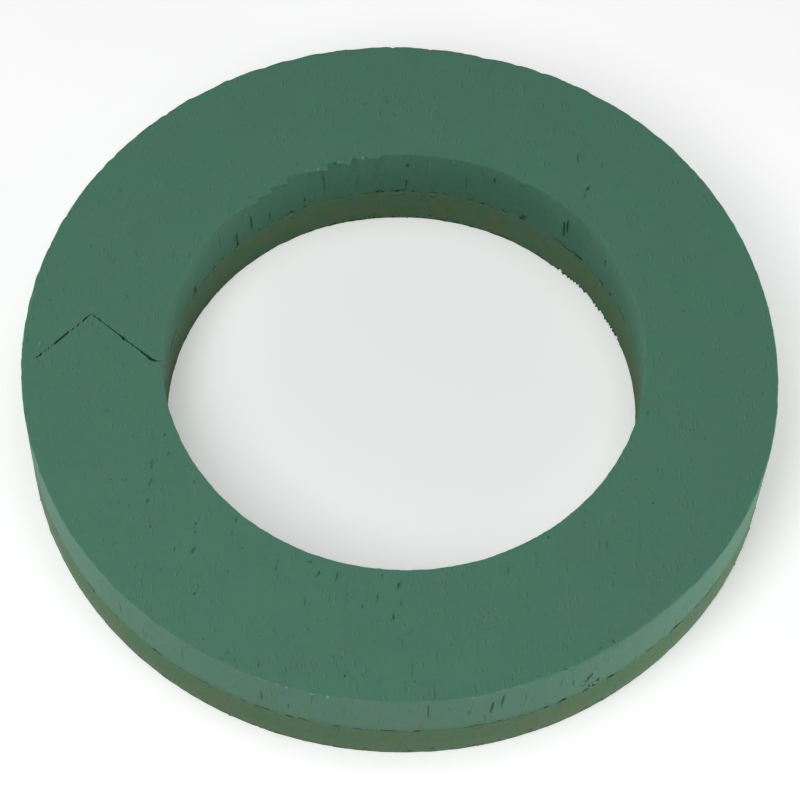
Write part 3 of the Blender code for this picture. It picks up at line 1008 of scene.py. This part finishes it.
def backing_material():
    nodes = Nodes("backing_foam")
    place, height, _, outer, stretched = surface_places(nodes)
    brown = nodes.fade(nodes.noise(place, 13 * MM, 1.0), 0.42, 0.64)
    moss = nodes.fade(nodes.noise(place, 9 * MM, 1.0), 0.43, 0.62)
    colour = nodes.mix(brown, BACKING_COLOUR, BACKING_BROWN)
    mossy = nodes.tint(colour, BACKING_MOSS_TINT)
    colour = nodes.mix(moss, colour, mossy)
    low = nodes.total(height, nodes.times(nodes.noise(place, 4 * MM), 8 * MM))
    low = nodes.fade(low, 15 * MM, 6 * MM, 0.0, 0.35)
    colour = nodes.mix(nodes.times(low, outer), colour, BACKING_DUST_AND_HIGHLIGHT)
    colour = nodes.mix(near_glue(nodes, place, height, 2.0 * MM), colour, BORDER_COLOUR)

    beads = nodes.cells(place, 2.4 * MM, feature="DISTANCE_TO_EDGE")
    seams = nodes.fade(beads, 0.0, 0.10, 1.0, 0.0)
    mottle = nodes.around(nodes.noise(place, 2.5 * MM, 3.0), 0.10)
    grain = nodes.noise(place, 0.45 * MM, 2.0)
    mottle = nodes.times(mottle, nodes.around(grain, 0.14))
    mottle = nodes.shade(mottle, seams, 0.93)
    scratches = nodes.fade(nodes.noise(stretched, 0.6 * MM, 1.0), 0.62, 0.76)
    mottle = nodes.shade(mottle, scratches, 0.86)
    low_edge = nodes.total(height, nodes.times(nodes.noise(place, 2.5 * MM, 1.0), 2 * MM))
    low_edge = nodes.fade(low_edge, 3.2 * MM, 1.7 * MM)
    # Dashes of painted shade along the lower edge, like contact shadow
    edge_shade_dashes = nodes.times(nodes.fade(nodes.noise(place, 1.9 * MM, 1.0), 0.50, 0.58), low_edge)
    specks = nodes.times(nodes.fade(nodes.noise(place, 1.3 * MM, 0.0), 0.38, 0.32), low_edge)
    mottle = nodes.shade(mottle, edge_shade_dashes, 0.32)
    mottle = nodes.shade(mottle, specks, 1.5)
    colour = paint_shade_and_highlight(nodes, nodes.scale(colour, mottle), BACKING_PIT_SHADE_COLOUR, BACKING_DUST_AND_HIGHLIGHT)

    relief = nodes.total(
        nodes.times(seams, -0.05 * MM),
        nodes.times(grain, 0.05 * MM),
        nodes.times(scratches, -0.06 * MM),
    )
    return nodes.finish(colour, relief, 0.95)


def film_material():
    nodes = Nodes("adhesive")
    place = nodes.add("TexCoord", {}, "Object")
    # Patches of painted shade, for the shade in the groove at the glue
    groove_shade = nodes.fade(nodes.noise(place, 4 * MM, 3.0), 0.53, 0.60)
    colour = nodes.mix(groove_shade, FILM_COLOUR, FILM_SHADE_COLOUR)
    relief = nodes.times(nodes.noise(place, 0.8 * MM, 2.0), 0.08 * MM)
    return nodes.finish(colour, relief, 0.70)


foam = build_foam(foam_material())
backing = build_backing(backing_material())
film = build_film(film_material())
for piece, node, slot in (
    (foam, "foam_ring", "wet_foam"),
    (backing, "backing_ring", "backing_foam"),
    (film, "adhesive_layer", "adhesive"),
):
    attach(piece, "root")
    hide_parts(node)

# Studio

CAMERA_PLACE = Vector((0, -0.584, 1.021))
CAMERA_TARGET = Vector((-0.0003, 0.0057, 0))
CAMERA_ROLL = math.radians(2.6)
CAMERA_LENS = 129.5
# How strongly the floor glows under the ring, as the camera sees it
FLOOR_LIFT = 0.22


def floor_material():
    """A white sheet that looks brighter than it is lit, and more so away from the ring."""
    nodes = Nodes("floor")
    nodes.feed(nodes.shader.inputs["Base Color"], (0.93, 0.93, 0.93))
    nodes.feed(nodes.shader.inputs["Roughness"], 0.9)
    seen = nodes.add("LightPath", {}, "Is Camera Ray")
    nodes.feed(nodes.shader.inputs["Emission Color"], (1, 1, 1))
    place = nodes.add("TexCoord", {}, "Object")
    away = nodes.add("VectorMath", {0: place}, "Value", operation="LENGTH")
    lift = nodes.fade(away, 0.5, 1.6, FLOOR_LIFT, 1.0)
    nodes.feed(nodes.shader.inputs["Emission Strength"], nodes.times(seen, lift))
    return nodes.material


def build_floor():
    mesh = bpy.data.meshes.new("floor")
    shape = bmesh.new()
    bmesh.ops.create_circle(shape, cap_ends=True, segments=128, radius=20)
    shape.to_mesh(mesh)
    shape.free()
    floor = new_object("floor", mesh)
    mesh.materials.append(floor_material())


def build_camera():
    data = bpy.data.cameras.new("camera")
    data.lens = CAMERA_LENS
    data.sensor_width = 36
    camera = new_object("camera", data)
    looking = (CAMERA_TARGET - CAMERA_PLACE).normalized()
    level = looking.cross(Vector((0, 0, 1))).normalized()
    upright = level.cross(looking)
    right = math.cos(CAMERA_ROLL) * level + math.sin(CAMERA_ROLL) * upright
    up = -math.sin(CAMERA_ROLL) * level + math.cos(CAMERA_ROLL) * upright
    axes = Matrix((right, up, -looking)).transposed()
    camera.matrix_world = Matrix.Translation(CAMERA_PLACE) @ axes.to_4x4()
    bpy.context.scene.camera = camera


# Soft boxes: where they stand, their width and height in metres, and their power in watts
SOFT_BOXES = {
    "over": ((0, -0.10, 1.50), (0.9, 0.9), 8),
    "front": ((-0.25, -0.45, 0.75), (0.4, 0.4), 3),
    "right": ((1.35, 0, 0.24), (0.9, 0.4), 5),
    "right_back": ((1.17, 0.675, 0.24), (0.9, 0.4), 6),
    "right_front": ((1.17, -0.675, 0.24), (0.9, 0.4), 7.5),
    "left": ((-1.35, 0, 0.24), (0.9, 0.4), 2.5),
    "left_back": ((-1.17, 0.675, 0.24), (0.9, 0.4), 9),
    "left_front": ((-1.17, -0.675, 0.24), (0.9, 0.4), 3.5),
}


def build_soft_box(name, place, size, power):
    data = bpy.data.lights.new(name, "AREA")
    data.shape = "RECTANGLE"
    data.size, data.size_y = size
    data.energy = power
    light = new_object(name, data)
    light.location = place
    aim = Vector((0, 0, TOP / 2))
    light.rotation_euler = (aim - Vector(place)).to_track_quat("-Z", "Y").to_euler()


def build_backdrop():
    """A white world that the camera sees and that lights nothing."""
    world = bpy.data.worlds.new("studio")
    world.use_nodes = True
    tree = world.node_tree
    background = tree.nodes["Background"]
    background.inputs["Color"].default_value = (1, 1, 1, 1)
    seen = tree.nodes.new("ShaderNodeLightPath").outputs["Is Camera Ray"]
    tree.links.new(seen, background.inputs["Strength"])
    bpy.context.scene.world = world


build_floor()
build_camera()
for name, (place, size, power) in SOFT_BOXES.items():
    build_soft_box(name, place, size, power)
build_backdrop()
bpy.context.scene.view_settings.view_transform = "Standard"
